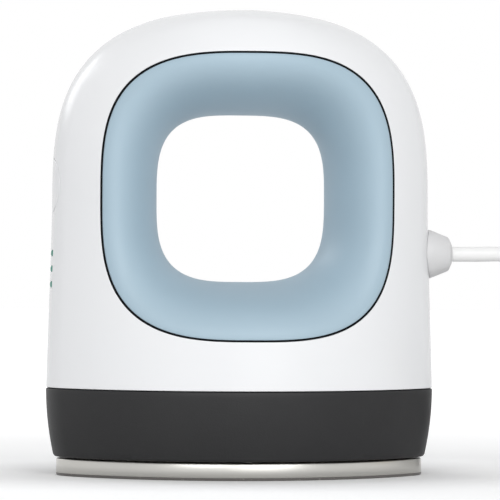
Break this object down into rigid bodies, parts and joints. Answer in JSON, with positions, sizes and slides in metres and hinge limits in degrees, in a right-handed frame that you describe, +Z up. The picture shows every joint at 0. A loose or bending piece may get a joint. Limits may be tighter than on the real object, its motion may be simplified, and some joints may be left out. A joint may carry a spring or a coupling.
{
  "type": "mini handheld heat press",
  "caption": "Small arched heat press with a squarish grip hole, coloured grip rings, a bowed heat plate, an end power button, indicator lights and a coiled mains cord.",
  "frame": {"origin": "centre of the heat plate's underside, on the surface that the press stands on", "axes": "+X to the end that the cord leaves from, +Y to the back, +Z up through the arch"},
  "size_m": [0.1769, 0.0802, 0.106],
  "materials": {
    "shell": "gloss white, moulded",
    "grip": "satin pale blue, moulded",
    "trim": "black bead",
    "skirt": "satin charcoal, heat resistant",
    "aluminium": "fine machined edge",
    "ceramic_coat": "smooth non-stick ceramic coat",
    "steel": "zinc plated screw",
    "element_sheath": "heat-tinted tube",
    "terminal": "ceramic bead with a nickel pin",
    "insulation": "pressed mica and fibre board",
    "shield": "bright sheet",
    "sensor": "potted sensor",
    "fuse": "thermal cutoff can",
    "board": "circuit board with green solder mask",
    "terminal_green": "screw terminal block",
    "relay": "relay case",
    "capacitor_film": "film capacitor",
    "wire_red": "silicone insulated wire",
    "wire_yellow": "glass fibre and silicone insulated wire",
    "wire_brown": "mains core",
    "wire_grey": "signal wire",
    "switch": "switch body",
    "led": "green LED chip",
    "light": "lit green light pipe",
    "gland": "soft white strain relief",
    "clamp": "nylon clamp",
    "cord": "white PVC sheath",
    "tie": "grey hook-and-loop strap",
    "plug": "white moulded plug",
    "blade": "brass blade"
  },
  "bodies": {
    "housing": {"front_shell": "shell", "rear_shell": "shell", "shell_screws": "steel", "front_grip_ring": "grip", "rear_grip_ring": "grip", "front_trim_bead": "trim", "rear_trim_bead": "trim", "base_skirt": "skirt", "heat_plate": "aluminium", "plate_coating": "ceramic_coat", "plate_screws": "steel", "heating_element": "element_sheath", "element_terminals": "terminal", "insulation_board": "insulation", "heat_shield": "shield", "thermistor": "sensor", "thermal_fuse": "fuse", "power_board": "board", "board_screws": "steel", "terminal_block": "terminal_green", "power_relay": "relay", "capacitor": "capacitor_film", "heater_wires": "wire_red", "sensor_wires": "wire_yellow", "mains_wires": "wire_brown", "control_wires": "wire_grey", "control_board": "board", "tact_switch": "switch", "indicator_leds": "led", "light_pipes": "light", "cord_gland": "gland", "cord_clamp": "clamp", "clamp_screws": "steel", "cord_tail": "cord", "cord_lead": "cord", "cord_coil": "cord", "cord_tie": "tie", "plug_tail": "cord", "plug_body": "plug", "plug_blades": "blade"},
    "power_button": {"power_button": "shell", "switch_actuator": "switch"}
  },
  "joints": [
    {"name": "power_button_press", "type": "slide", "parent": "housing", "child": "power_button", "axis": [1, 0, 0], "range_m": [0, 0.0006], "stiffness_N_per_m": 1500}
  ]
}
